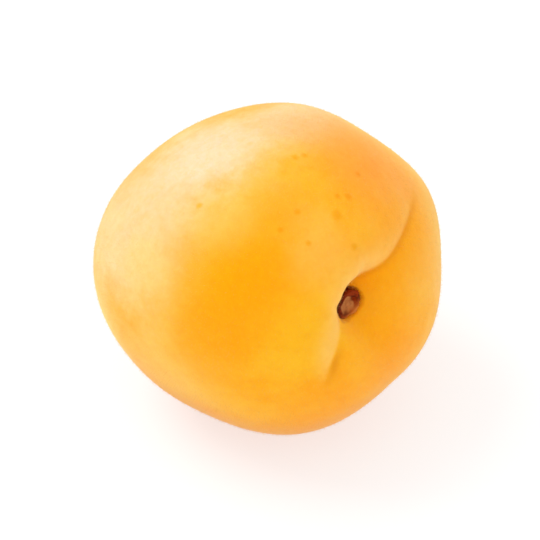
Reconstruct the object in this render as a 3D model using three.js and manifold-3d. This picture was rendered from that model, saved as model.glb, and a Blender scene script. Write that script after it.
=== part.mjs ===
// A ripe apricot lying on its big side, with the dried remnant of its stalk still in the stem cavity.
// Millimetres, +Z up. The fruit is one solid: its radius is a formula of the direction from its middle.
import * as THREE from 'three';
import * as BufferGeometryUtils from 'three/addons/utils/BufferGeometryUtils.js';
import Module from 'manifold-3d';

// ---- Driving dimensions: lengths in millimetres, angles in degrees ----

// The fruit's own axes: X from its middle to the suture, Y to the big cheek, Z to the stem.
const HALF_WIDTH = 25.35;
const HALF_THICKNESS = 25.0;
const HALF_LENGTH = 24.7;
const FULLNESS = 2.25; // 2 is an ellipsoid, more is squarer

// How it lies: the stem end leans this far above the table, and the suture is rolled this far above level.
const STEM_RISE = 22;
const SUTURE_RISE = 19.5;
const REST_RADIUS = 5.5; // of the small flat spot it rests on

// The line between the cheeks bows round the stub and strays at both ends. Places along it are angles
// at the fruit's middle: 0 at the stem, more towards the suture.
const BOW_HEIGHT = 2.3; // how far the big cheek's wall stands back from the stub
const BOW_AT = 4;
const BOW_REACH = 14;
const BOW_BACK_REACH = 12;
const SUTURE_DRIFT = 1.15; // how far the suture's far part strays to the big cheek
const SUTURE_DRIFTS = [12, 70];
const CREASE_STRAY = 0.33; // millimetres towards the small cheek for each degree past CREASE_FROM
const CREASE_FROM = -6.5;
const CREASE_STRAIGHT = [-70, -40]; // past here it strays no more

// Stem cavity: a valley between the cheeks, steep on the big cheek and gentle on the small one.
const CAVITY_DEPTH = 6.3;
const CAVITY_REACH = 12;
const CAVITY_BACK_REACH = 7.5;
const CAVITY_WALL = 1.2;
const CAVITY_FAR_WALL = 3.0; // of the same wall at both ends of the valley
const CAVITY_MIDDLE = 2;
const CAVITY_OPENS = [5, 14];
const CAVITY_SLOPE = 7.5;

// Suture: the groove between the cheeks, deep by the stem and faint over the middle.
const SUTURE_DEPTH = 1.3;
const SUTURE_FAINT_DEPTH = 0.06;
const SUTURE_STARTS = [2, 14];
const SUTURE_FADES = [24, 52];
const SUTURE_ENDS = [150, 178];
const SUTURE_WALL = 1.7;
const SUTURE_SLOPE = 5.0;

// Crease: a short fold that runs out of the cavity on the side away from the suture.
const CREASE_DEPTH = 0.55;
const CREASE_AT = -20;
const CREASE_REACH = 5.5;
const CREASE_WALL = 1.3;
const CREASE_SLOPE = 2.6;

const GROOVE_ROUNDING = 0.2;
const GROOVE_SHARPNESS = 1.3; // 1 has a sharp rim, 2 a round one

// Swells and flats that make each cheek its own shape: height, angle from the stem, angle round it, spread.
const SWELLS = [
  { name: 'small cheek shoulder', height: 1.6, fromStem: 50, around: -70, spread: 19 },
  { name: 'rise beside the suture', height: 2.6, fromStem: 69, around: -9, spread: 15 },
  { name: 'big cheek beside the suture', height: 1.2, fromStem: 90, around: 34, spread: 16 },
  { name: 'big cheek shoulder', height: 0.4, fromStem: 35, around: 90, spread: 26 },
  { name: 'big cheek flat', height: -1.4, fromStem: 105, around: 60, spread: 30 },
  { name: 'big cheek tip side', height: 0.6, fromStem: 130, around: 110, spread: 28 },
  { name: 'back corner', height: 0.5, fromStem: 115, around: -170, spread: 16 },
  { name: 'back flat', height: -1.5, fromStem: 95, around: -165, spread: 24 },
  { name: 'back shoulder', height: -1.5, fromStem: 60, around: 180, spread: 24 },
  { name: 'hollow under the stem end', height: -0.4, fromStem: 56, around: -95, spread: 16 },
  { name: 'swell under the stem end', height: 0.4, fromStem: 63, around: -116, spread: 16 },
  { name: 'tip', height: 0.9, fromStem: 180, around: 0, spread: 7 },
];

// Stalk remnant: a dry stub with a swollen, hollow end, a thin neck and a foot sunk in the flesh.
// It is oval: longer along the line between the cheeks than across it.
const STUB_RADIUS = 2.35;
const STUB_LONG = 1.1;
const STUB_NARROW = 0.78;
const STUB_NECK_RADIUS = 1.7;
const STUB_FOOT_RADIUS = 2.0;
const STUB_HEIGHT = 4.0;
const STUB_FOOT_AT = 17.4; // from the fruit's middle, along the stem
const STUB_ASIDE = 0.45; // how far it stands off the stem line, towards the small cheek
const STUB_HOLLOW = 0.8;
const STUB_RAGGED = 0.12; // how far the bark stands in and out of round
const STUB_LOBES = 5;
const STUB_SKEW = 0.6; // share of the two-lobed wave that is added to those lobes

// Socket: the pit that the stub stands in, a little wider on the big cheek's side.
const SOCKET_GAP = 0.35;
const SOCKET_NARROW = 0.83;
const SOCKET_ASIDE = 0.4;

// Mesh fineness. Rings crowd towards the stem and columns towards the suture, where the detail is.
const RINGS = 56;
const COLUMNS = 96;
const RING_CROWDING = 0.6;
const COLUMN_CROWDING = 0.5;
const STUB_SIDES = 28;
const WELD = 1e-4; // points nearer than this become one

const SKIN_COLOUR = 0xf9a833;
const STUB_COLOUR = 0x5a3a22;

const radians = THREE.MathUtils.degToRad;
const degrees = THREE.MathUtils.radToDeg;
const smoothstep = THREE.MathUtils.smoothstep;

// ---- The fruit's surface ----

// A unit direction from its angle from the stem and its angle round the stem, both in radians.
function direction(fromStem, around) {
  return new THREE.Vector3(
    Math.sin(fromStem) * Math.cos(around),
    Math.sin(fromStem) * Math.sin(around),
    Math.cos(fromStem),
  );
}

// The plain body before anything is pressed into it: a slightly squared ellipsoid.
function bodyRadius(way) {
  const across = Math.abs(way.x / HALF_WIDTH) ** FULLNESS;
  const through = Math.abs(way.y / HALF_THICKNESS) ** FULLNESS;
  const along = Math.abs(way.z / HALF_LENGTH) ** FULLNESS;
  return (across + through + along) ** (-1 / FULLNESS);
}

// A round swell that falls away evenly on all sides of its middle.
function swellHeight(way, swell) {
  const middle = direction(radians(swell.fromStem), radians(swell.around));
  const tightness = 0.5 / (1 - Math.cos(radians(swell.spread)));
  return swell.height * Math.exp(tightness * (way.dot(middle) - 1));
}

// The cross-section of a groove: 1 at its line, steep towards the big cheek and gentle the other way.
function grooveSection(side, wall, slope) {
  const away = Math.hypot(side, GROOVE_ROUNDING) - GROOVE_ROUNDING;
  return Math.exp(-((away / (side > 0 ? wall : slope)) ** GROOVE_SHARPNESS));
}

// 1 at the middle, falling away within the reach; the two sides may reach differently.
function hump(along, middle, reach, backReach) {
  const offset = along - middle;
  return Math.exp(-((offset / (offset > 0 ? reach : backReach)) ** 2));
}

// How far a direction is from the line between the cheeks, in millimetres, more towards the big cheek.
function sideOfLine(way, along) {
  const bow = BOW_HEIGHT * hump(along, BOW_AT, BOW_REACH, BOW_BACK_REACH);
  const drift = SUTURE_DRIFT * smoothstep(along, ...SUTURE_DRIFTS);
  const stray = CREASE_STRAY * Math.min(along - CREASE_FROM, 0) * smoothstep(along, ...CREASE_STRAIGHT);
  return HALF_THICKNESS * way.y - bow - drift - stray;
}

// How deep the cavity, suture and crease press in, all along the same line.
function grooveDepth(way) {
  const along = degrees(Math.atan2(way.x, way.z));
  const side = sideOfLine(way, along);
  const opening = smoothstep(Math.abs(along - CAVITY_MIDDLE), ...CAVITY_OPENS);
  const wall = CAVITY_WALL + (CAVITY_FAR_WALL - CAVITY_WALL) * opening;
  const cavity = CAVITY_DEPTH * hump(along, 0, CAVITY_REACH, CAVITY_BACK_REACH);
  const fading = 1 - smoothstep(along, ...SUTURE_FADES);
  const running = smoothstep(along, ...SUTURE_STARTS) * (1 - smoothstep(along, ...SUTURE_ENDS));
  const suture = running * (SUTURE_FAINT_DEPTH + (SUTURE_DEPTH - SUTURE_FAINT_DEPTH) * fading);
  const crease = CREASE_DEPTH * hump(along, CREASE_AT, CREASE_REACH, CREASE_REACH);
  return cavity * grooveSection(side, wall, CAVITY_SLOPE)
    + suture * grooveSection(side, SUTURE_WALL, SUTURE_SLOPE)
    + crease * grooveSection(side, CREASE_WALL, CREASE_SLOPE);
}

function fruitRadius(way) {
  const swells = SWELLS.reduce((sum, swell) => sum + swellHeight(way, swell), 0);
  return bodyRadius(way) + swells - grooveDepth(way);
}

// ---- Solids and booleans ----

const wasm = await Module();
wasm.setup();

// A closed three.js geometry as a solid.
function solidOf(geometry) {
  const bare = geometry.clone();
  bare.deleteAttribute('normal');
  bare.deleteAttribute('uv');
  const merged = BufferGeometryUtils.mergeVertices(bare, WELD);
  return new wasm.Manifold(new wasm.Mesh({
    numProp: 3,
    vertProperties: new Float32Array(merged.attributes.position.array),
    triVerts: new Uint32Array(merged.index.array),
  }));
}

function geometryOf(solid) {
  const mesh = solid.getMesh();
  const geometry = new THREE.BufferGeometry();
  geometry.setAttribute('position', new THREE.BufferAttribute(new Float32Array(mesh.vertProperties), 3));
  geometry.setIndex(new THREE.BufferAttribute(new Uint32Array(mesh.triVerts), 1));
  geometry.computeVertexNormals();
  return geometry;
}

// A point of the skin, from its shares of the way down from the stem and round it, each from 0 to 1.
function skinPoint(down, turn) {
  const fromStem = Math.PI * down * (1 - RING_CROWDING * (1 - down));
  const around = 2 * Math.PI * turn - COLUMN_CROWDING * Math.sin(2 * Math.PI * turn);
  const way = direction(fromStem, around);
  return way.multiplyScalar(fruitRadius(way));
}

// The two triangles of a four-cornered patch, split along its shorter diagonal.
function patchFaces(points, a, b, c, d) {
  const shorter = points[a].distanceTo(points[c]) < points[b].distanceTo(points[d]);
  return shorter ? [a, b, c, a, c, d] : [a, b, d, b, c, d];
}

// The whole skin: a point at the stem, rings of points and a point at the tip.
function fruitGeometry() {
  const points = [skinPoint(0, 0)];
  const faces = [];
  for (let ring = 1; ring < RINGS; ring += 1) {
    for (let column = 0; column < COLUMNS; column += 1) {
      points.push(skinPoint(ring / RINGS, column / COLUMNS));
    }
  }
  points.push(skinPoint(1, 0));
  const tip = points.length - 1;
  const lastRing = tip - COLUMNS;
  for (let column = 0; column < COLUMNS; column += 1) {
    const next = (column + 1) % COLUMNS;
    faces.push(0, 1 + column, 1 + next);
    faces.push(tip, lastRing + next, lastRing + column);
  }
  for (let ring = 0; ring < RINGS - 2; ring += 1) {
    const above = 1 + ring * COLUMNS;
    const below = above + COLUMNS;
    for (let column = 0; column < COLUMNS; column += 1) {
      const next = (column + 1) % COLUMNS;
      faces.push(...patchFaces(points, above + column, below + column, below + next, above + next));
    }
  }
  const geometry = new THREE.BufferGeometry().setFromPoints(points);
  geometry.setIndex(faces);
  return geometry;
}

// ---- Lying on the table ----

// Turns the fruit's own axes to the part's: the stem end leans up towards +X.
const lie = new THREE.Matrix4()
  .makeRotationY(radians(90 - STEM_RISE))
  .multiply(new THREE.Matrix4().makeRotationZ(radians(90 + SUTURE_RISE)));

// The height under the fruit's middle at which a level cut is as wide as the rest spot.
function restHeight(geometry) {
  const lying = geometry.clone().applyMatrix4(lie);
  lying.computeBoundingBox();
  const lowest = lying.boundingBox.min.z;
  const sagitta = REST_RADIUS ** 2 / (2 * HALF_THICKNESS);
  return lowest + sagitta;
}

function levelCutter(height) {
  const size = 4 * HALF_LENGTH;
  return new THREE.BoxGeometry(size, size, size)
    .translate(0, 0, height - size / 2)
    .applyMatrix4(lie.clone().invert());
}

// ---- Stalk remnant ----

// Half the stub's outline, from the middle of its foot round to the middle of its hollow end.
function stubOutline() {
  const points = [
    [0, 0],
    [STUB_FOOT_RADIUS, 0],
    [STUB_FOOT_RADIUS, 0.22 * STUB_HEIGHT],
    [STUB_RADIUS * 0.94, 0.34 * STUB_HEIGHT],
    [STUB_FOOT_RADIUS * 0.95, 0.45 * STUB_HEIGHT],
    [STUB_NECK_RADIUS, 0.56 * STUB_HEIGHT],
    [STUB_NECK_RADIUS * 1.08, 0.66 * STUB_HEIGHT],
    [STUB_RADIUS * 0.95, 0.77 * STUB_HEIGHT],
    [STUB_RADIUS, 0.88 * STUB_HEIGHT],
    [STUB_RADIUS * 0.92, 0.98 * STUB_HEIGHT],
    [STUB_RADIUS * 0.74, STUB_HEIGHT],
    [STUB_RADIUS * 0.52, STUB_HEIGHT - 0.6 * STUB_HOLLOW],
    [STUB_RADIUS * 0.3, STUB_HEIGHT - STUB_HOLLOW],
    [0, STUB_HEIGHT - 0.8 * STUB_HOLLOW],
  ];
  return points.map(([radius, height]) => new THREE.Vector2(radius, height));
}

// A turned stub, its bark pressed in and out of round above the foot.
function stubGeometry() {
  const geometry = new THREE.LatheGeometry(stubOutline(), STUB_SIDES).rotateX(Math.PI / 2);
  const position = geometry.attributes.position;
  for (let i = 0; i < position.count; i += 1) {
    const point = new THREE.Vector3().fromBufferAttribute(position, i);
    const around = Math.atan2(point.y, point.x);
    const aboveFoot = smoothstep(point.z, 0.22 * STUB_HEIGHT, 0.5 * STUB_HEIGHT);
    const lobes = Math.cos(STUB_LOBES * around) + STUB_SKEW * Math.cos(2 * around + point.z);
    const swell = 1 + (aboveFoot * STUB_RAGGED * lobes) / STUB_RADIUS;
    position.setXYZ(i, point.x * swell, point.y * swell, point.z);
  }
  geometry.scale(STUB_LONG, STUB_NARROW, 1);
  return geometryOf(solidOf(geometry));
}

// The hole that the stub stands in: its foot's width at the floor, its head's width above.
function socketCutter() {
  const footRadius = STUB_FOOT_RADIUS + SOCKET_GAP;
  const headRadius = STUB_RADIUS + (1 + STUB_SKEW) * STUB_RAGGED + SOCKET_GAP;
  const outline = [
    [0, -SOCKET_GAP],
    [footRadius, -SOCKET_GAP],
    [footRadius, 0.15 * STUB_HEIGHT],
    [headRadius, 0.3 * STUB_HEIGHT],
    [headRadius, 2 * STUB_HEIGHT],
    [0, 2 * STUB_HEIGHT],
  ];
  const points = outline.map(([radius, height]) => new THREE.Vector2(radius, height));
  return new THREE.LatheGeometry(points, STUB_SIDES)
    .rotateX(Math.PI / 2)
    .scale(STUB_LONG, SOCKET_NARROW, 1)
    .translate(0, -SOCKET_ASIDE, STUB_FOOT_AT);
}

// ---- The part ----

function buildFruit() {
  const skin = fruitGeometry();
  const solid = solidOf(skin)
    .subtract(solidOf(levelCutter(restHeight(skin))))
    .subtract(solidOf(socketCutter()));
  const material = new THREE.MeshStandardMaterial({ color: SKIN_COLOUR, roughness: 0.6, metalness: 0 });
  const fruit = new THREE.Mesh(geometryOf(solid), material);
  fruit.name = 'fruit';
  return fruit;
}

function buildStub() {
  const material = new THREE.MeshStandardMaterial({ color: STUB_COLOUR, roughness: 0.9, metalness: 0 });
  const stub = new THREE.Mesh(stubGeometry(), material);
  stub.name = 'stem_stub';
  stub.position.set(0, -STUB_ASIDE, STUB_FOOT_AT);
  return stub;
}

function buildApricot() {
  const turned = new THREE.Group();
  turned.quaternion.setFromRotationMatrix(lie);
  turned.add(buildFruit(), buildStub());
  const apricot = new THREE.Group();
  apricot.add(turned);
  apricot.updateMatrixWorld(true);
  const box = new THREE.Box3().setFromObject(apricot, true);
  const middle = box.getCenter(new THREE.Vector3());
  turned.position.set(-middle.x, -middle.y, -box.min.z);
  return apricot;
}

export default buildApricot();
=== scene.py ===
"""Dresses a lying apricot: velvety skin, dried stalk remnant and down, on a pale studio floor."""

import math

import bpy
from bpy.props import FloatProperty, FloatVectorProperty, IntProperty, PointerProperty
from mathutils import Euler, Matrix, Vector, noise


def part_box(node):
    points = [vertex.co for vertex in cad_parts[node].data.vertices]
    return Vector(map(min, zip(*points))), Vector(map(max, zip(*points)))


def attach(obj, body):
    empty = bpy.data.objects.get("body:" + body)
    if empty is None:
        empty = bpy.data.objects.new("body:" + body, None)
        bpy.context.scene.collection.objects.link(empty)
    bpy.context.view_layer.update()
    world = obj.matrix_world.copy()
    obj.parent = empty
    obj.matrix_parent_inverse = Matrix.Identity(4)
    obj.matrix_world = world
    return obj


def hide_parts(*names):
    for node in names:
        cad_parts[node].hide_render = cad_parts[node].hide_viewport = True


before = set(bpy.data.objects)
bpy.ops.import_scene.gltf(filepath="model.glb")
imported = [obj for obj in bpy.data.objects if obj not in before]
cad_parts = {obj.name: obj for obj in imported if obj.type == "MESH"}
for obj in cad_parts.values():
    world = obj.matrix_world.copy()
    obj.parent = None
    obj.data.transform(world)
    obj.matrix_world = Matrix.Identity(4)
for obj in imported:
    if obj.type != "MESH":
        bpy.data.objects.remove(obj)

bl_info = {
    "name": "Apricot",
    "version": (1, 0, 0),
    "blender": (4, 5, 0),
    "location": "View3D > Sidebar > Apricot",
    "description": "Builds a ripe apricot with its skin, stalk remnant and down",
    "category": "Add Mesh",
}

BODY = "root"
MM = 0.001

# Swells and flats that make each cheek its own shape: height in metres, then degrees from the stem,
# degrees round it and spread.
SWELLS = {
    "Small cheek shoulder": (0.0016, 50, -70, 19),
    "Rise beside the suture": (0.0026, 69, -9, 15),
    "Big cheek beside the suture": (0.0012, 90, 34, 16),
    "Big cheek shoulder": (0.0004, 35, 90, 26),
    "Big cheek flat": (-0.0014, 105, 60, 30),
    "Big cheek tip side": (0.0006, 130, 110, 28),
    "Back corner": (0.0005, 115, -170, 16),
    "Back flat": (-0.0015, 95, -165, 24),
    "Back shoulder": (-0.0015, 60, 180, 24),
    "Hollow under the stem end": (-0.0004, 56, -95, 16),
    "Swell under the stem end": (0.0004, 63, -116, 16),
    "Tip": (0.0009, 180, 0, 7),
}

# Patches of colour on the skin, in the order they are laid on: degrees from the stem, degrees round
# it, spread, colour and strength.
PATCHES = {
    "back": (140, -60, 38, "lip_gold", 0.5),
    "far_back": (128, 172, 26, "lip_gold", 0.45),
    # The cream on the far side, crown and top is painted highlight and painted sheen of the down.
    "far_side": (97, 114, 25, "cream", 0.6),
    "crown": (88, 80, 17, "cream", 0.82),
    "top": (79, 48, 13, "cream", 0.62),
    "underside": (84, 172, 18, "lip_gold", 0.3),
    "amber": (44, 123, 16, "amber", 1.0),
    "low_amber": (54, 150, 12, "amber", 0.8),
    "upper_amber": (49, 88, 9, "amber", 0.4),
    "stem_side": (14, -30, 11, "flesh_orange", 0.5),
    "belly": (42, -125, 24, "blush", 0.3),
    "low_cheek": (30, -84, 10, "blush", 0.5),
    "blush": (54, 33, 17, "blush", 0.75),
    "gold": (24, 165, 13, "pale_gold", 0.7),
    "brow": (27, 84, 9, "lip_gold", 0.4),
    "small_cheek": (46, -20, 20, "lip_gold", 0.6),
    "suture_top": (56, 22, 8, "blush", 0.4),
    "crown_edge": (77, 55, 7, "blush", 0.25),
    "forehead": (46, 81, 8, "blush", 0.25),
    "suture_side": (41, -9, 8, "lip_gold", 0.35),
    "cavity_foot": (19, -85, 9, "amber", 0.6),
    "lower_edge": (62, 178, 9, "flesh_orange", 0.45),
    "shoulder": (61, 103, 8, "lip_gold", 0.3),
    "suture_head": (52, 6, 6, "blush", 0.45),
    "lip_flank": (20, 30, 4, "flesh_orange", 0.5),
    "big_cheek_edge": (82, 130, 8, "lip_gold", 0.4),
}
# How much the skin's mottling breaks up the edge of a patch.
RAGGED_EDGE = 5.0

# Bands of colour beside the suture's line, in the order they are laid on: how far to the big cheek
# the middle lies and how wide it is, in metres, colour and strength. The pit lies round the stub.
BANDS = {
    # This band is a painted highlight, paler and pinker, on the big cheek's lip beside the suture.
    "lip": (0.003, 0.0035, "blush", 0.2),
    "slope": (0.0, 0.0075, "amber", 0.9),
    # The line and fold bands are painted shade in the suture's groove and in the fold.
    "line": (0.0, 0.0007, "seam", 0.5),
    "fold": (-0.0006, 0.001, "seam", 0.6),
    # This band is painted shade in the pit round the stub.
    "pit": (0.0, 0.0038, "mottle_and_pit_shade", 0.35),
    # This band is a painted highlight on the big cheek's lip of the cavity.
    "rim": (0.002, 0.003, "lip_gold", 0.7),
    # This band is painted shadow in the gap under the lip, beside the stub.
    "scar": (-0.0009, 0.0011, "scar", 0.75),
}
# The soft edge between the cheeks' colours, and where the painted shadow under the lip ends, from the
# stub's axis.
CHEEK_EDGE = 0.0012
LIP_SHADOW_EDGE = (0.0025, 0.003)

# Places on the suture's line, in degrees from the stem towards the suture: a pair is where
# something starts and is full, and four are where it starts, is full, fades and is gone.
STRAY_FROM = -6.5
STRAY_GROWS = (-70, -40)
DRIFT_GROWS = (12, 70)
WALL_MIDDLE = 2
WALL_WIDENS = (5, 14)
GROOVE_RUN = (2, 14, 150, 178)
LINE_RUN = (3, 14, 40, 58)
CAVITY_RUN = (-30, -18, 12, 34)

# How much closer the skin's faces lie near the stem and near the suture.
RING_CROWDING = 0.45
COLUMN_CROWDING = 0.5
# How sharply a groove's sides bend, and where the pit's wall ends, as a share of its radius.
GROOVE_POWER = 1.3
PIT_WALL = 1.16
# Where the stem's half begins and is full, as a share of the way to the stem, and the heights over
# which the painted shade on the underside fades, in metres.
STEM_HALF = (0.0, 0.3)
UNDER_SHADE_HEIGHTS = (0.005, 0.021)

# What a pale fleck makes of the colour under it.
PALE_FLECK = (1.01, 1.04, 1.12)

# A small freckle's least size, and how much of a freckle is its dark middle, as shares of its radius.
SMALLEST_FRECKLE = 0.5
SMALL_CORE, LARGE_CORE = 0.1, 0.2
# What distances from a larger freckle are multiplied by, where the grain is 0 and what it adds.
FRECKLE_EDGE = (0.6, 0.8)
# Freckles large enough to be seen one by one: degrees from the stem, degrees round it and radius as
# a share of the fruit's.
FRECKLES = (
    (34, 62, 0.052),
    (22, 57, 0.034),
    (39, 51, 0.034),
    (40, 57, 0.028),
    (42, 81, 0.028),
    (59, 64, 0.03),
    (58, 60, 0.028),
    (71, 103, 0.032),
    (47, 40, 0.028),
    (32, 89, 0.028),
    (42, 94, 0.026),
)

# The stub's profile from its foot to the middle of its end: which radius, the share of it, the share
# of the height, the share of the hollow's depth taken off, and how much bare wood shows; then how
# many rings lie from one point to the next.
STUB_PROFILE = (
    ("foot_radius", 1.0, 0.0, 0.0, 0.0),
    ("foot_radius", 1.0, 0.22, 0.0, 0.0),
    ("radius", 0.94, 0.34, 0.0, 0.0),
    ("foot_radius", 0.95, 0.45, 0.0, 0.0),
    ("neck_radius", 1.0, 0.56, 0.0, 0.0),
    ("neck_radius", 1.08, 0.66, 0.0, 0.0),
    ("radius", 0.95, 0.77, 0.0, 0.0),
    ("radius", 1.0, 0.88, 0.0, 0.0),
    ("radius", 0.92, 0.98, 0.0, 0.0),
    ("radius", 0.74, 1.0, 0.0, 0.1),
    ("radius", 0.52, 1.0, 0.6, 0.9),
    ("radius", 0.3, 1.0, 1.0, 1.0),
    ("radius", 0.0, 1.0, 0.8, 1.0),
)
PROFILE_STEPS = 5
# The bark: ribs round it, broader ribs and their share, ridges round it and on each millimetre
# of its height, chips on each millimetre, and the least radius that is pressed in full.
RIBS = 5
BROAD_RIBS, BROAD_SHARE = 2, 0.6
RIDGES_ROUND, RIDGES_UP = 6, 0.7
CHIPS = 1.6
SLIMMEST = 0.3 * MM
# Widths of the bark's patches and its grain, and the grain's height, in metres.
BARK_PATCHES, BARK_GRAIN, BARK_RELIEF = 0.0007, 0.0004, 0.00012
# Shares of the height: where the bark's raggedness starts, and over how much it grows.
RAGGED_FROM, RAGGED_OVER = 0.22, 0.28
# Where the wood's colour stops on the suture's side and how softly, in radii.
WOOD_ENDS, WOOD_FADES_OVER = 0.6, 0.4
# The brown neck, as shares of the height.
NECK_AT, NECK_REACH = 0.58, 0.12
# In radii, the pith, the shade on the lip's side and the torn side, which starts at a height share.
PITH_AT, PITH_REACH = (-0.48, -0.43), 0.2
LIP_SIDE, SHADE_REACH = (-0.67, 0.74), 0.4
RAW_REACH, RAW_ABOVE = 0.45, 0.8

# The hairs: how far they lean and spin, in radians, their shortest and longest, as shares, and
# the width of their pale clouds.
HAIR_LEAN = 0.5
HAIR_SPIN = 3.2
HAIR_SIZES = (0.6, 1.3)
HAIR_CLOUDS = 0.004

# Half the floor's width and the width of its clouds, in metres, and how pale those are.
FLOOR_HALF = 1.5
FLOOR_CLOUDS = 0.2
FLOOR_SHADE = 0.985
WHITE = (1.0, 1.0, 1.0, 1.0)
# Each lamp's place from the fruit's middle, which turns with the camera, and its width, in metres.
LAMPS = {"key": ((-0.55, 0.2, 0.85), 0.6), "fill": ((0.8, -0.5, 0.6), 0.9)}
SENSOR_WIDTH = 36.0


def srgb(red, green, blue):
    """A linear colour from screen values of 0 to 255."""
    parts = (value / 255 for value in (red, green, blue))
    return tuple(p / 12.92 if p < 0.04045 else ((p + 0.055) / 1.055) ** 2.4 for p in parts)


def length(label, description, default):
    shown = {"unit": "LENGTH", "subtype": "DISTANCE", "precision": 5}
    return FloatProperty(name=label, description=description, default=default, **shown)


def number(label, description, default):
    return FloatProperty(name=label, description=description, default=default)


def watts(label, description, default):
    return FloatProperty(name=label, description=description, default=default, unit="POWER")


def angle(label, description, degrees):
    shown = {"unit": "ROTATION", "subtype": "ANGLE"}
    return FloatProperty(name=label, description=description, default=math.radians(degrees), **shown)


def colour(label, description, default):
    shown = {"subtype": "COLOR", "size": 3, "min": 0, "max": 1}
    return FloatVectorProperty(name=label, description=description, default=default, **shown)


# ---- What a user may change ----


class FruitShape(bpy.types.PropertyGroup):
    """The fruit's form. Its own X runs to the suture, Y to the big cheek and Z to the stem."""

    half_width: length("Half Width", "Middle to suture", 0.02535)
    half_thickness: length("Half Thickness", "Middle to big cheek", 0.025)
    half_length: length("Half Length", "Middle to stem end", 0.0247)
    fullness: number("Fullness", "2 is an ellipsoid, more is squarer", 2.25)
    stem_rise: angle("Stem Rise", "How far the stem end leans above the floor", 22)
    suture_rise: angle("Suture Rise", "How far the suture is rolled above level", 19.5)
    rest_radius: length("Rest Radius", "Radius of the flat spot it rests on", 0.0055)
    cavity_depth: length("Cavity Depth", "Depth of the stem cavity", 0.0063)
    cavity_reach: angle("Cavity Reach", "How far the cavity runs towards the suture", 12)
    cavity_back_reach: angle("Cavity Back Reach", "How far the cavity runs the other way", 7.5)
    cavity_wall: length("Cavity Wall", "Width of its steep side on the big cheek", 0.0012)
    cavity_far_wall: length("Cavity Far Wall", "Width of that side away from the stub", 0.003)
    cavity_slope: length("Cavity Slope", "Width of its gentle side", 0.0075)
    cheek_bow: length("Cheek Bow", "How far the big cheek's wall bows round the stub", 0.0023)
    cheek_bow_at: angle("Cheek Bow At", "Where that bow is greatest", 4)
    cheek_bow_reach: angle("Cheek Bow Reach", "How far that bow runs towards the suture", 14)
    cheek_bow_back_reach: angle("Cheek Bow Back Reach", "How far it runs the other way", 12)
    suture_depth: length("Suture Depth", "Depth of the groove by the stem", 0.0013)
    suture_faint_depth: length("Faint Depth", "Depth of the groove past the shoulder", 0.00006)
    suture_fades_from: angle("Suture Fades From", "Where the groove starts to grow shallow", 24)
    suture_fades_to: angle("Suture Fades To", "Where the groove is faint", 52)
    suture_drift: length("Suture Drift", "How far its far part moves to the big cheek", 0.00115)
    suture_wall: length("Suture Wall", "Width of the groove's steep side", 0.0017)
    suture_slope: length("Suture Slope", "Width of the groove's gentle side", 0.005)
    groove_rounding: length("Groove Rounding", "Radius at the bottom of the groove", 0.0002)
    crease_depth: length("Crease Depth", "Depth of the short fold behind the cavity", 0.00055)
    crease_wall: length("Crease Wall", "Width of the fold's side on the big cheek", 0.0013)
    crease_slope: length("Crease Slope", "Width of the fold's other side", 0.0026)
    crease_at: angle("Crease At", "Where the fold is deepest", -20)
    crease_reach: angle("Crease Reach", "How far the fold runs", 5.5)
    crease_stray: length("Crease Stray", "How far the fold's line strays in a degree", 0.00033)
    socket_radius: length("Socket Radius", "Radius of the pit the stub stands in", 0.0023)
    socket_long: number("Socket Long", "Stretch of the pit along the suture", 1.1)
    socket_narrow: number("Socket Narrow", "Squeeze of the pit across it", 0.82)
    socket_aside: length("Socket Aside", "How far the pit lies towards the small cheek", 0.0004)
    socket_floor: length("Socket Floor", "Middle of the fruit to the floor of that pit", 0.0172)
    dimple_depth: length("Dimple Depth", "Height of the skin's faint unevenness", 0.00007)
    dimple_size: length("Dimple Size", "Width of the skin's faint unevenness", 0.006)
    columns: IntProperty(name="Columns", description="Faces round the stem", default=400)
    rings: IntProperty(name="Rings", description="Faces from stem to tip", default=236)


class SkinFinish(bpy.types.PropertyGroup):
    """The colours of the skin, and the sizes of its markings."""

    flesh_orange: colour("Orange", "Main colour of the ripe skin", srgb(255, 171, 4))
    pale_gold: colour("Pale Gold", "Less ripe patches", srgb(255, 189, 32))
    amber: colour("Amber", "Ripest patch", srgb(255, 164, 0))
    blush: colour("Blush", "Side that ripened in the sun", srgb(252, 152, 50))
    # Deep orange for the dark mottling, and painted shade in the pit round the stub.
    mottle_and_pit_shade: colour("Deep Orange", "In the grooves and the cavity", srgb(238, 128, 4))
    # Painted highlight and sheen: the pale cream laid on the big cheek's crown, top and far side.
    cream: colour("Cream", "Crown of the big cheek, which ripens last", srgb(255, 208, 172))
    # Gold for paler patches, and the painted highlight on the cavity's lip.
    lip_gold: colour("Lip Gold", "Lip of the cavity and the fold", srgb(255, 198, 100))
    bloom: colour("Bloom", "Pale down seen edge on", srgb(255, 224, 165))
    # Painted shade on the side that faces the floor.
    under: colour("Under", "Side that faces the floor", srgb(229, 134, 30))
    # Painted shade at the bottom of the suture and the fold.
    seam: colour("Seam", "Brown at the bottom of the suture and the fold", srgb(224, 134, 6))
    # Painted shadow in the gap under the lip, beside the stub.
    scar: colour("Scar", "Brown where the stalk tore from the flesh", srgb(150, 60, 5))
    speck: colour("Speck", "What a freckle leaves of the colour under it", (0.9, 0.79, 0.15))
    cloud_size: length("Cloud Size", "Width of the less ripe clouds", 0.009)
    mottle_size: length("Mottle Size", "Width of the mottling", 0.0024)
    fleck_size: length("Fleck Size", "Width of the pale and dark flecks", 0.0014)
    grain_size: length("Grain Size", "Width of the fine grain", 0.0008)
    pore_size: length("Pore Size", "Width of the pores", 0.00035)
    relief: length("Relief", "Height of mottling and pores in the gloss", 0.00013)
    freckle_spacing: length("Freckle Spacing", "Mean distance of the small freckles", 0.0034)
    freckle_radius: length("Freckle Radius", "Radius of a small freckle", 0.0008)
    freckle_share: number("Freckle Share", "Share of the places that have a freckle", 0.5)


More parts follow.
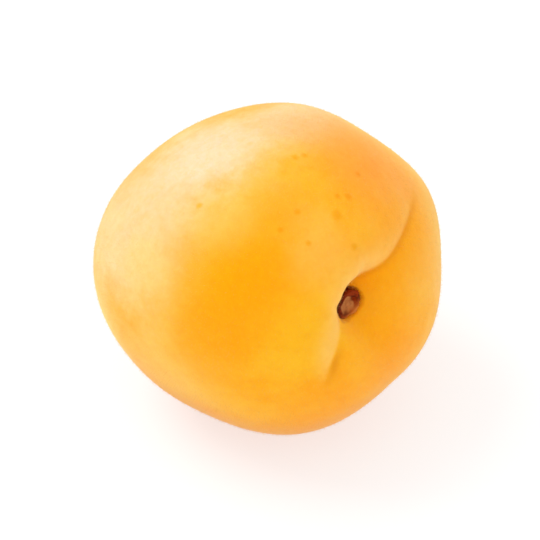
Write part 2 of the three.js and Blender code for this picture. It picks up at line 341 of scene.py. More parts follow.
class StubForm(bpy.types.PropertyGroup):
    """The dried remnant of the stalk."""

    radius: length("Radius", "Widest radius of the swollen end", 0.00235)
    neck_radius: length("Neck Radius", "Radius of the thin neck", 0.0017)
    foot_radius: length("Foot Radius", "Radius of the foot in the flesh", 0.002)
    height: length("Height", "Foot to the end", 0.004)
    hollow: length("Hollow", "Depth of the broken end's hollow", 0.0008)
    long: number("Long", "Stretch along the suture", 1.1)
    narrow: number("Narrow", "Squeeze across it", 0.78)
    lobes: length("Lobes", "Height of the ribs down the bark", 0.0001)
    ridges: length("Ridges", "Height of the bark's ridges", 0.00016)
    chips: length("Chips", "How far the bark is chipped up and down", 0.0003)
    bark: colour("Bark", "Dry dark bark", srgb(146, 50, 4))
    wood: colour("Wood", "Broken end", srgb(192, 122, 66))
    raw: colour("Raw", "Torn rim on the small cheek's side", srgb(214, 126, 50))
    neck: colour("Neck", "Brown of the thin neck", srgb(168, 92, 22))
    sides: IntProperty(name="Sides", description="Faces round the stub", default=72)
    seed: IntProperty(name="Seed", description="Which ragged shape the bark takes", default=4)


class DownForm(bpy.types.PropertyGroup):
    """The short hairs that make the skin velvety."""

    hair_length: length("Hair Length", "Mean length of a hair", 0.00042)
    hair_radius: length("Hair Radius", "Radius at the root", 0.00001)
    density: number("Density", "Hairs on a square metre", 4.2e6)
    floor_gap: length("Floor Gap", "Height above the floor where they start", 0.0007)
    seed: IntProperty(name="Seed", description="Which scatter of hairs", default=7)


class StudioSetting(bpy.types.PropertyGroup):
    """Floor, lights and camera."""

    azimuth: angle("Azimuth", "Camera direction, round from the front", 50)
    elevation: angle("Elevation", "Camera height above level", 45)
    distance: length("Distance", "Camera to the middle of the fruit", 0.65)
    field_width: length("Field Width", "Width of the picture at the fruit", 0.0845)
    aim_below: length("Aim Below", "How far under the fruit's middle the camera aims", 0.00065)
    floor: colour("Floor", "Pale floor", srgb(172, 172, 172))
    floor_glow: number("Floor Glow", "Light that shines up through the floor", 0.62)
    key: watts("Key", "Broad lamp up and to the camera's left", 4.8)
    fill: watts("Fill", "Weak lamp opposite", 0.5)
    sky: number("Sky", "Strength of the even pale sky", 0.9)


# ---- Arithmetic in node trees ----


class Term:
    """A socket of a node tree that can be written in ordinary sums."""

    def __init__(self, tree, socket):
        self.tree = tree
        self.socket = socket

    def __neg__(self):
        return self * -1.0


def written_as(operation, swapped):
    """The method that turns a sum with a term into a node."""

    def method(self, other):
        pair = (other, self) if swapped else (self, other)
        return calculate(self.tree, operation, *pair)

    return method


OPERATIONS = {"add": "ADD", "sub": "SUBTRACT", "mul": "MULTIPLY", "truediv": "DIVIDE", "pow": "POWER"}
for sign, operation in OPERATIONS.items():
    setattr(Term, f"__{sign}__", written_as(operation, False))
    setattr(Term, f"__r{sign}__", written_as(operation, True))


def plug(tree, value, socket):
    """Links a term to a socket, or sets the socket to a plain value."""
    if isinstance(value, Term):
        tree.links.new(value.socket, socket)
    else:
        socket.default_value = value


def result(tree, kind, values, output=0, **settings):
    """What a new node with these settings makes of its first inputs."""
    node = tree.nodes.new(kind)
    for name, value in settings.items():
        setattr(node, name, value)
    for value, socket in zip(values, node.inputs):
        plug(tree, value, socket)
    return Term(tree, node.outputs[output])


def calculate(tree, operation, *values):
    return result(tree, "ShaderNodeMath", values, operation=operation)


def on_vector(tree, operation, *values, output="Vector"):
    return result(tree, "ShaderNodeVectorMath", values, output, operation=operation)


def vector(tree, x, y, z):
    return result(tree, "ShaderNodeCombineXYZ", (x, y, z))


def parts(tree, value):
    node = tree.nodes.new("ShaderNodeSeparateXYZ")
    plug(tree, value, node.inputs[0])
    return [Term(tree, output) for output in node.outputs]


def sine(value):
    return calculate(value.tree, "SINE", value)


def cosine(value):
    return calculate(value.tree, "COSINE", value)


def exponential(value):
    return calculate(value.tree, "EXPONENT", value)


def bell(value, reach):
    """1 in the middle, falling away on both sides within the reach."""
    share = value / reach
    return exponential(-(share * share))


def eased(value, low, high, start=0.0, end=1.0):
    """Passes smoothly from start to end while the value passes from low to high."""
    values = (value, low, high, start, end)
    return result(value.tree, "ShaderNodeMapRange", values, interpolation_type="SMOOTHSTEP")


def in_radians(degrees):
    return [math.radians(each) for each in degrees]


def on_run(along, run):
    """1 along a run of the suture's line, with a soft start and a soft end."""
    start, full, fading, gone = in_radians(run)
    return eased(along, start, full) * eased(along, fading, gone, 1.0, 0.0)


def new_node(tree, kind, settings=None, **inputs):
    """A node with its settings and its inputs, named in lower case with _ for spaces."""
    node = tree.nodes.new(kind)
    for name, value in (settings or {}).items():
        setattr(node, name, value)
    for name, value in inputs.items():
        plug(tree, value, node.inputs[name.replace("_", " ").title()])
    return node


def set_inputs(node, values):
    """Sets a node's own sockets by name."""
    for name, value in values.items():
        node.inputs[name].default_value = value


def add_socket(tree, name, kind, in_out="INPUT"):
    return tree.interface.new_socket(name, in_out=in_out, socket_type="NodeSocket" + kind)


def shaped(tree, mesh, kind, settings=None, **inputs):
    """What a geometry node makes of the mesh."""
    node = new_node(tree, kind, settings, **inputs)
    tree.links.new(mesh, node.inputs["Geometry"])
    return node.outputs["Geometry"]


def position(tree):
    return parts(tree, Term(tree, tree.nodes.new("GeometryNodeInputPosition").outputs[0]))


def direction(tree, from_stem, around):
    """The way from the middle of a ball to a point on it."""
    out = sine(from_stem)
    return vector(tree, out * cosine(around), out * sine(around), cosine(from_stem))


# ---- The skin's form, in Geometry Nodes ----


def swell_group():
    """A round swell on a ball: its height at each direction."""
    tree = bpy.data.node_groups.new("Swell", "GeometryNodeTree")
    add_socket(tree, "Direction", "Vector")
    for name in ("Height", "From Stem", "Around", "Spread"):
        add_socket(tree, name, "Float")
    add_socket(tree, "Height", "Float", "OUTPUT")
    given = tree.nodes.new("NodeGroupInput").outputs
    way, height, from_stem, around, spread = (Term(tree, given[i]) for i in range(5))
    middle = direction(tree, from_stem, around)
    nearness = on_vector(tree, "DOT_PRODUCT", way, middle, output="Value")
    tightness = 0.5 / (1.0 - cosine(spread))
    rise = height * exponential(tightness * (nearness - 1.0))
    plug(tree, rise, tree.nodes.new("NodeGroupOutput").inputs[0])
    return tree


def swell(tree, group, way, height, *degrees):
    values = (way, height, *in_radians(degrees))
    return result(tree, "GeometryNodeGroup", values, node_tree=group)


def groove_section(side, wall, slope, rounding):
    """1 on the groove's line, steep towards the big cheek and gentle the other way."""
    away = calculate(side.tree, "SQRT", side * side + rounding * rounding) - rounding
    on_big_cheek = calculate(side.tree, "GREATER_THAN", side, 0.0)
    width = slope + (wall - slope) * on_big_cheek
    return exponential(-((away / width) ** GROOVE_POWER))


def add_inputs(tree, owner, names):
    """Named inputs of the tree with the defaults of a property group, as terms by property name."""
    given = tree.nodes.new("NodeGroupInput")
    terms = {}
    for name in names:
        prop = owner.bl_rna.properties[name]
        socket = add_socket(tree, prop.name, prop.type.title())
        socket.default_value = getattr(owner, name)
        terms[name] = Term(tree, given.outputs[prop.name])
    return terms


def skin_tree(shape):
    """A ball whose points move out to the fruit's radius, laid down on its flat spot."""
    tree = bpy.data.node_groups.new("Apricot skin", "GeometryNodeTree")
    size = add_inputs(tree, shape, FruitShape.__annotations__)
    add_socket(tree, "Material", "Material")
    add_socket(tree, "Mesh", "Geometry", "OUTPUT")

    # Rings crowd towards the stem and columns towards the suture, where the detail is.
    ball = new_node(tree, "GeometryNodeMeshUVSphere", segments=size["columns"], rings=size["rings"])
    ball.inputs["Radius"].default_value = 1.0
    x, y, z = position(tree)
    down = calculate(tree, "ARCCOSINE", z) / math.pi
    from_stem = math.pi * (down * (1.0 - RING_CROWDING) + down * down * RING_CROWDING)
    turn = calculate(tree, "ARCTAN2", y, x)
    around = turn - COLUMN_CROWDING * sine(turn)
    captured = tree.nodes.new("GeometryNodeCaptureAttribute")
    captured.capture_items.new("VECTOR", "Direction")
    tree.links.new(ball.outputs["Mesh"], captured.inputs["Geometry"])
    plug(tree, direction(tree, from_stem, around), captured.inputs["Direction"])
    way = Term(tree, captured.outputs["Direction"])
    x, y, z = parts(tree, way)

    # The plain body: a slightly squared ellipsoid.
    body = 0.0
    for part, half in ((x, "half_width"), (y, "half_thickness"), (z, "half_length")):
        body = calculate(tree, "ABSOLUTE", part / size[half]) ** size["fullness"] + body
    radius = body ** (-1.0 / size["fullness"])
    group = swell_group()
    for height_and_place in SWELLS.values():
        radius = radius + swell(tree, group, way, *height_and_place)

    # The cavity, suture and crease share one line, which bows round the stub.
    along = calculate(tree, "ARCTAN2", x, z)
    from_bow = along - size["cheek_bow_at"]
    forward = calculate(tree, "GREATER_THAN", from_bow, 0.0)
    bow_back = size["cheek_bow_back_reach"]
    bow_reach = bow_back + (size["cheek_bow_reach"] - bow_back) * forward
    bow = size["cheek_bow"] * bell(from_bow, bow_reach)
    past_crease = calculate(tree, "MINIMUM", along / math.radians(1) - STRAY_FROM, 0.0)
    stray = size["crease_stray"] * past_crease * eased(along, *in_radians(STRAY_GROWS))
    drift = size["suture_drift"] * eased(along, *in_radians(DRIFT_GROWS))
    side = size["half_thickness"] * y - bow - stray - drift
    ahead = calculate(tree, "GREATER_THAN", along, 0.0)
    reach = size["cavity_back_reach"] + (size["cavity_reach"] - size["cavity_back_reach"]) * ahead
    cavity = bell(along, reach)
    fading = eased(along, size["suture_fades_from"], size["suture_fades_to"], 1.0, 0.0)
    faint = size["suture_faint_depth"]
    suture = on_run(along, GROOVE_RUN) * (faint + (size["suture_depth"] - faint) * fading)
    crease = size["crease_depth"] * bell(along - size["crease_at"], size["crease_reach"])
    from_stub = calculate(tree, "ABSOLUTE", along - math.radians(WALL_MIDDLE))
    opening = eased(from_stub, *in_radians(WALL_WIDENS))
    wall = size["cavity_wall"] + (size["cavity_far_wall"] - size["cavity_wall"]) * opening
    bowl = groove_section(side, wall, size["cavity_slope"], size["groove_rounding"])
    groove = groove_section(side, size["suture_wall"], size["suture_slope"], size["groove_rounding"])
    fold = groove_section(side, size["crease_wall"], size["crease_slope"], size["groove_rounding"])
    radius = radius - size["cavity_depth"] * cavity * bowl - suture * groove - crease * fold

    # The skin's faint unevenness, and the pit that the stub stands in.
    lumps = new_node(tree, "ShaderNodeTexNoise", {"noise_dimensions": "3D"}, detail=2.0)
    plug(tree, way, lumps.inputs["Vector"])
    plug(tree, size["half_length"] / size["dimple_size"], lumps.inputs["Scale"])
    radius = radius + size["dimple_depth"] * (2.0 * Term(tree, lumps.outputs[0]) - 1.0)
    lengthwise = radius * x / size["socket_long"]
    across = (radius * y + size["socket_aside"]) / size["socket_narrow"]
    from_axis = calculate(tree, "SQRT", lengthwise * lengthwise + across * across)
    in_pit = eased(from_axis, size["socket_radius"], size["socket_radius"] * PIT_WALL, 1.0, 0.0)
    in_pit = in_pit * calculate(tree, "GREATER_THAN", z, 0.0)
    radius = radius + in_pit * (size["socket_floor"] - radius)

    surface = on_vector(tree, "MULTIPLY", way, vector(tree, radius, radius, radius))
    mesh = shaped(tree, captured.outputs["Geometry"], "GeometryNodeSetPosition", position=surface)

    # Masks for the finish, each from 0 to 1, and each point's direction for the freckles.
    on_big_cheek = eased(side, 0.0, CHEEK_EDGE)
    on_stem_half = eased(z, *STEM_HALF)
    near_line = on_run(along, LINE_RUN)
    # Painted shadow along the lip's edge below the stub.
    lip_shadow_reach = eased(along, -math.radians(1), 0.0, 1.0, 0.0) * eased(from_axis, *LIP_SHADOW_EDGE, 1.0, 0.0)
    # Bands of painted shade in the suture's line, the fold, the pit and under the lip, and of painted
    # highlight on the lips.
    within = {
        "lip": on_big_cheek * near_line,
        "slope": (1.0 - on_big_cheek) * near_line,
        "line": near_line,
        "fold": bell(along - size["crease_at"], size["crease_reach"]),
        "pit": on_stem_half,
        "rim": on_big_cheek * on_run(along, CAVITY_RUN),
        "scar": lip_shadow_reach * on_stem_half,
    }
    for name, (middle, reach, _, _) in BANDS.items():
        away = from_axis if name == "pit" else side
        mesh = stored(tree, mesh, name, "FLOAT", bell(away - middle, reach) * within[name])
    for name, (*place, _, _) in PATCHES.items():
        mesh = stored(tree, mesh, name, "FLOAT", swell(tree, group, way, 1.0, *place))
    mesh = stored(tree, mesh, "direction", "FLOAT_VECTOR", way)

    # Turn it to lie, settle its flat spot and bring the middle of its box over the origin.
    roll = vector(tree, 0.0, 0.0, size["suture_rise"] + math.pi / 2)
    mesh = shaped(tree, mesh, "GeometryNodeTransform", rotation=roll)
    lie = vector(tree, 0.0, math.pi / 2 - size["stem_rise"], 0.0)
    mesh = shaped(tree, mesh, "GeometryNodeTransform", rotation=lie)
    low, _ = corners(tree, mesh)
    rest_height = low[2] + size["rest_radius"] ** 2.0 / (2.0 * size["half_thickness"])
    x, y, z = position(tree)
    settled = vector(tree, x, y, calculate(tree, "MAXIMUM", z, rest_height))
    mesh = shaped(tree, mesh, "GeometryNodeSetPosition", position=settled)
    low, high = corners(tree, mesh)
    middle = [(low[i] + high[i]) / 2.0 for i in range(2)]
    shift = vector(tree, -middle[0], -middle[1], -low[2])
    finish_tree(tree, shaped(tree, mesh, "GeometryNodeTransform", translation=shift))
    return tree


def stored(tree, mesh, name, kind, value):
    """Keeps a value on each point of the mesh, for the finish to read."""
    settings = {"data_type": kind, "domain": "POINT"}
    return shaped(tree, mesh, "GeometryNodeStoreNamedAttribute", settings, name=name, value=value)


def corners(tree, mesh):
    """The lowest and highest corner of a mesh's box, each as three terms."""
    node = tree.nodes.new("GeometryNodeBoundBox")
    tree.links.new(mesh, node.inputs["Geometry"])
    return [parts(tree, Term(tree, node.outputs[name])) for name in ("Min", "Max")]


def finish_tree(tree, mesh):
    """Ends a tree in Realize Instances, smooth shading and Set Material."""
    material = Term(tree, tree.nodes.new("NodeGroupInput").outputs["Material"])
    mesh = shaped(tree, mesh, "GeometryNodeRealizeInstances")
    mesh = shaped(tree, mesh, "GeometryNodeSetShadeSmooth")
    mesh = shaped(tree, mesh, "GeometryNodeSetMaterial", material=material)
    tree.links.new(mesh, tree.nodes.new("NodeGroupOutput").inputs[0])


def grown(name, base, tree, material, owner):
    """Runs a node tree on a base mesh and keeps the result as a plain mesh object."""
    maker = bpy.data.objects.new(name + "_maker", base)
    bpy.context.collection.objects.link(maker)
    modifier = maker.modifiers.new("Grow", "NODES")
    modifier.node_group = tree
    values = {prop.name: getattr(owner, prop.identifier) for prop in owner.bl_rna.properties}
    values["Material"] = material
    for item in tree.interface.items_tree:
        if item.in_out == "INPUT" and item.name in values:
            modifier[item.identifier] = values[item.name]
    depsgraph = bpy.context.evaluated_depsgraph_get()
    mesh = bpy.data.meshes.new_from_object(maker.evaluated_get(depsgraph))
    mesh.name = name
    maker.modifiers.remove(modifier)
    bpy.data.objects.remove(maker)
    piece = bpy.data.objects.new(name, mesh)
    bpy.context.collection.objects.link(piece)
    return piece


# ---- Finishes ----


def noise_value(tree, place, size, detail=2.0, roughness=0.5):
    """A cloudy value round 0.5 whose patches are about this wide, in metres."""
    settings = {"vector": place, "scale": 1.0 / size, "detail": detail, "roughness": roughness}
    return Term(tree, new_node(tree, "ShaderNodeTexNoise", **settings).outputs[0])


def blend(tree, factor, first, second):
    """The first colour turning to the second as the factor goes from 0 to 1."""
    node = tree.nodes.new("ShaderNodeMix")
    node.data_type = "RGBA"
    plug(tree, factor, node.inputs["Factor"])
    # The node's two colour inputs and its colour output, which share their names with others.
    for value, socket in zip((first, second), node.inputs[6:8]):
        plug(tree, value if isinstance(value, Term) else (*value, 1.0), socket)
    return Term(tree, node.outputs[2])


def tinted(tree, factor, paint, tint):
    """The paint turning to itself times a tint as the factor goes from 0 to 1."""
    return blend(tree, factor, paint, on_vector(tree, "MULTIPLY", paint, vector(tree, *tint)))


def attribute(tree, name, output="Fac"):
    return result(tree, "ShaderNodeAttribute", (), output, attribute_name=name)


def freckle_group():
    """Sparse small dots: 1 inside a dot, 0 outside."""
    tree = bpy.data.node_groups.new("Freckles", "ShaderNodeTree")
    add_socket(tree, "Place", "Vector")
    for name in ("Spacing", "Dot Radius", "Share"):
        add_socket(tree, name, "Float")
    add_socket(tree, "Mask", "Float", "OUTPUT")
    given = tree.nodes.new("NodeGroupInput").outputs
    place, spacing, dot, share = (Term(tree, given[i]) for i in range(4))
    cells = new_node(tree, "ShaderNodeTexVoronoi", vector=place, scale=1.0 / spacing)
    pick, size_pick, _ = parts(tree, Term(tree, cells.outputs["Color"]))
    chosen = calculate(tree, "LESS_THAN", pick, share)
    edge = (dot / spacing) * (SMALLEST_FRECKLE + size_pick)
    inside = eased(Term(tree, cells.outputs["Distance"]), edge * SMALL_CORE, edge, 1.0, 0.0)
    plug(tree, chosen * inside, tree.nodes.new("NodeGroupOutput").inputs[0])
    return tree


def larger_freckles(tree, raggedness):
    """The few freckles that show from afar, at their places on the skin: 1 inside, 0 outside."""
    way = attribute(tree, "direction", "Vector")
    plain, drawn = FRECKLE_EDGE
    inside = 0.0
    for from_stem, around, size in FRECKLES:
        spot = Euler((0, *in_radians((from_stem, around)))).to_matrix().col[2]
        away = on_vector(tree, "DISTANCE", way, spot, output="Value") * (plain + drawn * raggedness)
        inside = calculate(tree, "MAXIMUM", inside, eased(away, LARGE_CORE * size, size, 1.0, 0.0))
    return inside


def new_material(name):
    """A material with its tree, its shader and its Object coordinates."""
    material = bpy.data.materials.new(name)
    material.use_nodes = True
    tree = material.node_tree
    shader = tree.nodes["Principled BSDF"]
    place = Term(tree, tree.nodes.new("ShaderNodeTexCoord").outputs["Object"])
    return material, tree, shader, place


def bump(tree, shader, height, distance):
    node = new_node(tree, "ShaderNodeBump", height=height, distance=distance)
    tree.links.new(node.outputs["Normal"], shader.inputs["Normal"])


def skin_material(finish):
    """Ripe orange skin in bloom, pinker where the sun caught it, with painted highlight on the crown
    and lips and painted shade in the grooves, pit and underside.
    """
    material, tree, shader, place = new_material("apricot_skin")
    clouds = noise_value(tree, place, finish.cloud_size, 4.0)
    mottle = noise_value(tree, place, finish.mottle_size, 4.0, 0.6)
    fleck = noise_value(tree, place, finish.fleck_size, 3.0, 0.6)
    grain = noise_value(tree, place, finish.grain_size, 3.0)
    pores = noise_value(tree, place, finish.pore_size, 2.0)

    # Less ripe clouds and mottling first, then the ragged patches, the underside's painted shade and
    # the bands.
    gold_cloud = eased(clouds, 0.35, 0.7)
    gold_mottle = eased(mottle, 0.5, 0.75, 0.0, 0.35)
    dark_mottle = eased(mottle, 0.5, 0.28, 0.0, 0.12)
    paint = blend(tree, gold_cloud, finish.flesh_orange, finish.pale_gold)
    paint = blend(tree, gold_mottle, paint, finish.pale_gold)
    paint = blend(tree, dark_mottle, paint, finish.mottle_and_pit_shade)
    unevenness = 0.7 * (clouds - 0.5) + 0.3 * (mottle - 0.5)
    for patch, (*_, paint_name, share) in PATCHES.items():
        cover = attribute(tree, patch)
        ragged = cover + RAGGED_EDGE * cover * (1.0 - cover) * unevenness
        cover = eased(ragged, 0.0, 1.0, 0.0, share)
        paint = blend(tree, cover, paint, getattr(finish, paint_name))
    # Painted shade: the side that faces the floor darkens towards the bottom.
    underside = eased(parts(tree, place)[2], *UNDER_SHADE_HEIGHTS, 1.0, 0.0)
    paint = blend(tree, underside, paint, finish.under)
    # The bands lay painted shade in the line, fold, pit and under the lip, and painted highlight on
    # the lips.
    for band, (*_, paint_name, share) in BANDS.items():
        paint = blend(tree, share * attribute(tree, band), paint, getattr(finish, paint_name))

    # Pale flecks, then dark flecks and freckles, which tint what is under them.
    pale_fleck = calculate(tree, "MAXIMUM", eased(fleck, 0.48, 0.72), eased(grain, 0.5, 0.7))
    paint = tinted(tree, pale_fleck, paint, PALE_FLECK)
    marks = eased(fleck, 0.52, 0.3, 0.0, 0.16)
    dots = (place, finish.freckle_spacing, finish.freckle_radius, finish.freckle_share)
    small = result(tree, "ShaderNodeGroup", dots, node_tree=freckle_group())
    for more in (0.3 * small, 0.8 * larger_freckles(tree, grain)):
        marks = calculate(tree, "MAXIMUM", marks, more)
    paint = tinted(tree, marks, paint, finish.speck)

    tree.links.new(paint.socket, shader.inputs["Base Color"])
    plug(tree, eased(grain, 0.3, 0.7, 0.46, 0.56), shader.inputs["Roughness"])
    bump(tree, shader, 0.7 * mottle + 0.3 * pores, finish.relief)
    soft = {"Subsurface Weight": 0.2, "Subsurface Scale": 0.003, "Subsurface Radius": (1.0, 0.4, 0.08)}
    sheen = {"Sheen Weight": 0.65, "Sheen Roughness": 0.4, "Sheen Tint": (*finish.bloom, 1.0)}
    set_inputs(shader, {"IOR": 1.42, "Specular IOR Level": 0.06, **soft, **sheen})
    return material


def darkened(paint, share):
    return [share * part for part in paint]


def stub_material(form):
    """Dry red-brown bark round a tan broken end with a darker pith."""
    material, tree, shader, place = new_material("dry_stalk")
    patches = noise_value(tree, place, BARK_PATCHES, 3.0)
    dark_bark = darkened(form.bark, 0.45)
    bare_wood = eased(attribute(tree, "wood") + 0.5 * patches, 0.5, 1.0)
    paint = blend(tree, eased(patches, 0.4, 0.65), form.bark, dark_bark)
    paint = blend(tree, attribute(tree, "neck"), paint, form.neck)
    paint = blend(tree, bare_wood, paint, form.wood)
    paint = blend(tree, 0.85 * attribute(tree, "raw"), paint, form.raw)
    paint = blend(tree, 0.8 * attribute(tree, "pith"), paint, dark_bark)
    paint = blend(tree, 0.9 * attribute(tree, "shade"), paint, darkened(form.bark, 0.25))
    tree.links.new(paint.socket, shader.inputs["Base Color"])
    set_inputs(shader, {"Roughness": 0.85, "Specular IOR Level": 0.15})
    bump(tree, shader, noise_value(tree, place, BARK_GRAIN, 3.0), BARK_RELIEF)
    return material


def down_material(finish):
    """Pale hairs, some of them more golden."""
    material, tree, shader, place = new_material("down")
    paint = blend(tree, noise_value(tree, place, HAIR_CLOUDS), finish.bloom, finish.pale_gold)
    tree.links.new(paint.socket, shader.inputs["Base Color"])
    return material


# ---- Pieces ----


def lie_matrix(shape):
    """Turns the fruit's own axes to lie on the floor."""
    rolled = Euler((0, 0, math.pi / 2 + shape.suture_rise)).to_matrix()
    return Euler((0, math.pi / 2 - shape.stem_rise, 0)).to_matrix() @ rolled


class APRICOT_OT_skin(bpy.types.Operator):
    """Grow the fruit's skin, which stands for the fruit's solid"""

    bl_idname = "apricot.skin"
    bl_label = "Skin"

    def execute(self, context):
        shape = context.scene.apricot_shape
        material = skin_material(context.scene.apricot_skin)
        base = bpy.data.meshes.new("ball")
        piece = grown("fruit_skin", base, skin_tree(shape), material, shape)
        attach(piece, BODY)
        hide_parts("fruit")
        return {"FINISHED"}


class APRICOT_OT_stub(bpy.types.Operator):
    """Shape the dried stalk remnant, which stands for its solid"""

    bl_idname = "apricot.stub"
    bl_label = "Stalk Remnant"

    def execute(self, context):
        form = context.scene.apricot_stub
        turn = lie_matrix(context.scene.apricot_shape)
        mesh = stub_mesh(form)
        mesh.transform(turn.to_4x4())
        box_low, box_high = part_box("stem_stub")
        low = Vector(min(v.co[i] for v in mesh.vertices) for i in range(3))
        high = Vector(max(v.co[i] for v in mesh.vertices) for i in range(3))
        mesh.transform(Matrix.Translation((box_low + box_high - low - high) / 2))
        piece = bpy.data.objects.new("stub_bark", mesh)
        context.collection.objects.link(piece)
        mesh.materials.append(stub_material(form))
        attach(piece, BODY)
        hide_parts("stem_stub")
        return {"FINISHED"}


def stub_outline(form):
    """Radius, height and share of bare wood at each point of the stub's profile."""
    return [
        (share * getattr(form, name), up * form.height - down * form.hollow, wood)
        for name, share, up, down, wood in STUB_PROFILE
    ]


def stub_mesh(form):
    """Rings along the profile, pressed in and out by ragged bark, with both ends closed."""
    outline = stub_outline(form)
    rings = []
    for near, far in zip(outline, outline[1:]):
        for step in range(PROFILE_STEPS):
            share = step / PROFILE_STEPS
            rings.append([a + (b - a) * share for a, b in zip(near, far)])
    offset = Vector((form.seed, 0, 0))
    points, wood = [], []
    for radius, up, bare in rings:
        ragged = clamped((up / form.height - RAGGED_FROM) / RAGGED_OVER)
        level = Vector((0, 0, up / MM))
        for i in range(form.sides):
            around = 2 * math.pi * i / form.sides
            outwards = Vector((math.cos(around), math.sin(around), 0))
            spot = outwards * radius
            lobes = math.cos(RIBS * around) + BROAD_SHARE * math.cos(BROAD_RIBS * around + up / MM)
            ridges = noise.noise(outwards * RIDGES_ROUND + level * RIDGES_UP + offset)
            chips = noise.noise((spot / MM + level) * CHIPS + offset)
            press = ragged * (form.lobes * lobes + form.ridges * ridges)
            lift = Vector((0, 0, up + ragged * form.chips * chips))
            points.append(spot * (1 + press / max(radius, SLIMMEST)) + lift)
            wood.append(bare)
    faces = []
    for ring in range(len(rings) - 1):
        for i in range(form.sides):
            here, there = ring * form.sides + i, ring * form.sides + (i + 1) % form.sides
            faces.append((here, there, there + form.sides, here + form.sides))
    last = (len(rings) - 1) * form.sides
    points += [Vector((0, 0, outline[-1][1])), Vector((0, 0, 0))]
    wood += [1.0, 0.0]
    for i in range(form.sides):
        following = (i + 1) % form.sides
        faces.append((last + i, last + following, len(points) - 2))
        faces.append((following, i, len(points) - 1))
    mesh = bpy.data.meshes.new("stub_bark")
    mesh.from_pydata(points, [], faces)
    for name, values in stub_masks(form, points, wood).items():
        mesh.attributes.new(name, "FLOAT", "POINT").data.foreach_set("value", values)
    mesh.transform(Matrix.Diagonal((form.long, form.narrow, 1, 1)))
    mesh.shade_smooth()
    return mesh


def stub_masks(form, points, wood):
    """Masks for the stub's finish, each from 0 to 1."""
    masks = {name: [] for name in ("wood", "neck", "pith", "shade", "raw")}
    pith, lip_side = Vector(PITH_AT), Vector(LIP_SIDE)
    for point, bare in zip(points, wood):
        spot = point.xy / form.radius
        masks["wood"].append(bare * clamped((WOOD_ENDS - spot.x) / WOOD_FADES_OVER))
        masks["neck"].append(hump(point.z / form.height - NECK_AT, NECK_REACH))
        masks["pith"].append(hump((spot - pith).length, PITH_REACH))
        masks["shade"].append(hump(spot.dot(lip_side) - 1, SHADE_REACH))
        masks["raw"].append(hump(spot.y + 1, RAW_REACH) * (point.z > RAW_ABOVE * form.height))
    return masks


def clamped(value):
    return min(1, max(0, value))


def hump(value, reach):
    """1 in the middle, falling away on both sides within the reach."""
    return math.exp(-((value / reach) ** 2))


def down_tree(form):
    """Scatters slim closed cones over a mesh, each leaning a little from the surface's normal."""
    tree = bpy.data.node_groups.new("Apricot down", "GeometryNodeTree")
    add_socket(tree, "Skin", "Geometry")
    size = add_inputs(tree, form, DownForm.__annotations__)
    add_socket(tree, "Material", "Material")
    add_socket(tree, "Mesh", "Geometry", "OUTPUT")
    scatter = tree.nodes.new("GeometryNodeDistributePointsOnFaces")
    plug(tree, size["density"], scatter.inputs["Density"])
    plug(tree, size["seed"], scatter.inputs["Seed"])
    tree.links.new(tree.nodes.new("NodeGroupInput").outputs["Skin"], scatter.inputs["Mesh"])
    above = calculate(tree, "GREATER_THAN", position(tree)[2], size["floor_gap"])
    plug(tree, above, scatter.inputs["Selection"])
    hair = new_node(tree, "GeometryNodeMeshCone", vertices=3, depth=size["hair_length"])
    plug(tree, size["hair_radius"], hair.inputs["Radius Bottom"])
    hair.inputs["Radius Top"].default_value = 0.0
    tilt = new_node(tree, "FunctionNodeRandomValue", {"data_type": "FLOAT_VECTOR"}, seed=size["seed"])
    most = (HAIR_LEAN, HAIR_LEAN, HAIR_SPIN)
    set_inputs(tilt, {"Min": [-angle for angle in most], "Max": most})
    leaning = tree.nodes.new("FunctionNodeRotateRotation")
    leaning.rotation_space = "LOCAL"
    tree.links.new(scatter.outputs["Rotation"], leaning.inputs["Rotation"])
    tree.links.new(tilt.outputs["Value"], leaning.inputs["Rotate By"])
    grow = new_node(tree, "FunctionNodeRandomValue", {"data_type": "FLOAT"}, seed=size["seed"] + 1.0)
    grow.inputs[2].default_value, grow.inputs[3].default_value = HAIR_SIZES
    placed = tree.nodes.new("GeometryNodeInstanceOnPoints")
    tree.links.new(scatter.outputs["Points"], placed.inputs["Points"])
    tree.links.new(hair.outputs["Mesh"], placed.inputs["Instance"])
    tree.links.new(leaning.outputs["Rotation"], placed.inputs["Rotation"])
    tree.links.new(grow.outputs[1], placed.inputs["Scale"])
    finish_tree(tree, placed.outputs["Instances"])
    return tree


class APRICOT_OT_down(bpy.types.Operator):
    """Scatter the short hairs over the skin"""

    bl_idname = "apricot.down"
    bl_label = "Down"

    def execute(self, context):
        form = context.scene.apricot_down
        base = bpy.data.objects["fruit_skin"].data.copy()
        piece = grown("down", base, down_tree(form), down_material(context.scene.apricot_skin), form)
        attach(piece, BODY)
        return {"FINISHED"}


# ---- Floor, lights and camera ----


class APRICOT_OT_studio(bpy.types.Operator):
    """Set out the pale floor, the soft lights and the camera"""

    bl_idname = "apricot.studio"
    bl_label = "Studio"

    def execute(self, context):
        setting = context.scene.apricot_studio
        low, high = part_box("fruit")
        middle = (low + high) / 2
        lay_floor(setting)
        hang_lights(setting, middle)
        place_camera(setting, middle)
        context.scene.view_settings.view_transform = "Standard"
        return {"FINISHED"}


def lay_floor(setting):
    """A wide pale floor that glows a little."""
    mesh = bpy.data.meshes.new("floor")
    ends = ((-1, -1), (1, -1), (1, 1), (-1, 1))
    mesh.from_pydata([(x * FLOOR_HALF, y * FLOOR_HALF, 0) for x, y in ends], [], [(0, 1, 2, 3)])
    floor = bpy.data.objects.new("floor", mesh)
    bpy.context.collection.objects.link(floor)
    material, tree, shader, place = new_material("pale_floor")
    clouds = noise_value(tree, place, FLOOR_CLOUDS)
    paint = blend(tree, clouds, setting.floor, darkened(setting.floor, FLOOR_SHADE))
    tree.links.new(paint.socket, shader.inputs["Base Color"])
    set_inputs(shader, {"Roughness": 0.9, "Specular IOR Level": 0.1})
    set_inputs(shader, {"Emission Color": WHITE, "Emission Strength": setting.floor_glow})
    mesh.materials.append(material)


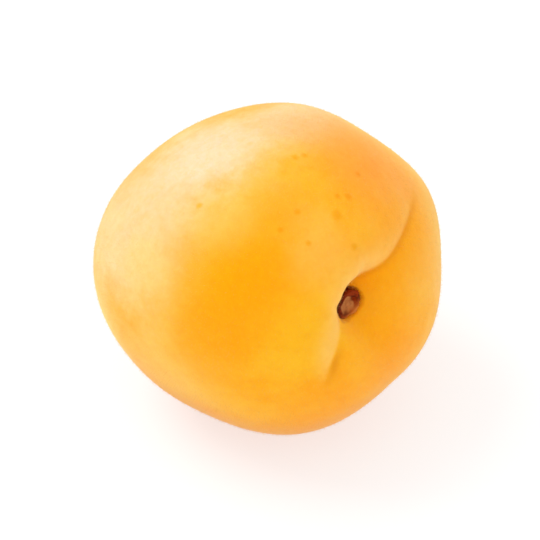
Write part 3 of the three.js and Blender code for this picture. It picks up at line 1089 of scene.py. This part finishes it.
def hang_lights(setting, middle):
    """A broad lamp up and to the camera's left, a weak one opposite and an even pale sky."""
    for name, (place, width) in LAMPS.items():
        light = bpy.data.lights.new(name, "AREA")
        light.size = width
        light.energy = getattr(setting, name)
        lamp = bpy.data.objects.new(name, light)
        away = Matrix.Rotation(setting.azimuth, 3, "Z") @ Vector(place)
        lamp.location = middle + away
        lamp.rotation_euler = away.to_track_quat("Z", "Y").to_euler()
        bpy.context.collection.objects.link(lamp)
    world = bpy.data.worlds.new("sky")
    world.use_nodes = True
    set_inputs(world.node_tree.nodes["Background"], {"Color": WHITE, "Strength": setting.sky})
    bpy.context.scene.world = world


def place_camera(setting, middle):
    """A long lens that looks a little under the fruit's middle."""
    turn, rise = setting.azimuth, setting.elevation
    back = Vector((math.sin(turn) * math.cos(rise), -math.cos(turn) * math.cos(rise), math.sin(rise)))
    data = bpy.data.cameras.new("camera")
    data.sensor_width = SENSOR_WIDTH
    data.lens = data.sensor_width * setting.distance / setting.field_width
    camera = bpy.data.objects.new("camera", data)
    facing = back.to_track_quat("Z", "Y")
    aim = middle - facing @ Vector((0, setting.aim_below, 0))
    camera.location = aim + back * setting.distance
    camera.rotation_euler = facing.to_euler()
    bpy.context.collection.objects.link(camera)
    bpy.context.scene.camera = camera


# ---- Panel and registration ----


class APRICOT_PT_panel(bpy.types.Panel):
    """Lists what can be built"""

    bl_label = "Apricot"
    bl_idname = "APRICOT_PT_panel"
    bl_space_type = "VIEW_3D"
    bl_region_type = "UI"
    bl_category = "Apricot"

    def draw(self, context):
        for operator in OPERATORS:
            self.layout.operator(operator.bl_idname)
        for name in SETTINGS:
            owner = getattr(context.scene, name)
            box = self.layout.box()
            box.label(text=type(owner).__name__)
            for field in type(owner).__annotations__:
                box.prop(owner, field)


SETTINGS = {
    "apricot_shape": FruitShape,
    "apricot_skin": SkinFinish,
    "apricot_stub": StubForm,
    "apricot_down": DownForm,
    "apricot_studio": StudioSetting,
}
OPERATORS = (APRICOT_OT_skin, APRICOT_OT_stub, APRICOT_OT_down, APRICOT_OT_studio)


def register():
    for kind in (*SETTINGS.values(), *OPERATORS, APRICOT_PT_panel):
        bpy.utils.register_class(kind)
    for name, kind in SETTINGS.items():
        setattr(bpy.types.Scene, name, PointerProperty(type=kind))


def unregister():
    for name in SETTINGS:
        delattr(bpy.types.Scene, name)
    for kind in reversed((*SETTINGS.values(), *OPERATORS, APRICOT_PT_panel)):
        bpy.utils.unregister_class(kind)


def main():
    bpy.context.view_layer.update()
    register()
    bpy.ops.apricot.skin()
    bpy.ops.apricot.stub()
    bpy.ops.apricot.down()
    bpy.ops.apricot.studio()


if __name__ == "__main__":
    main()
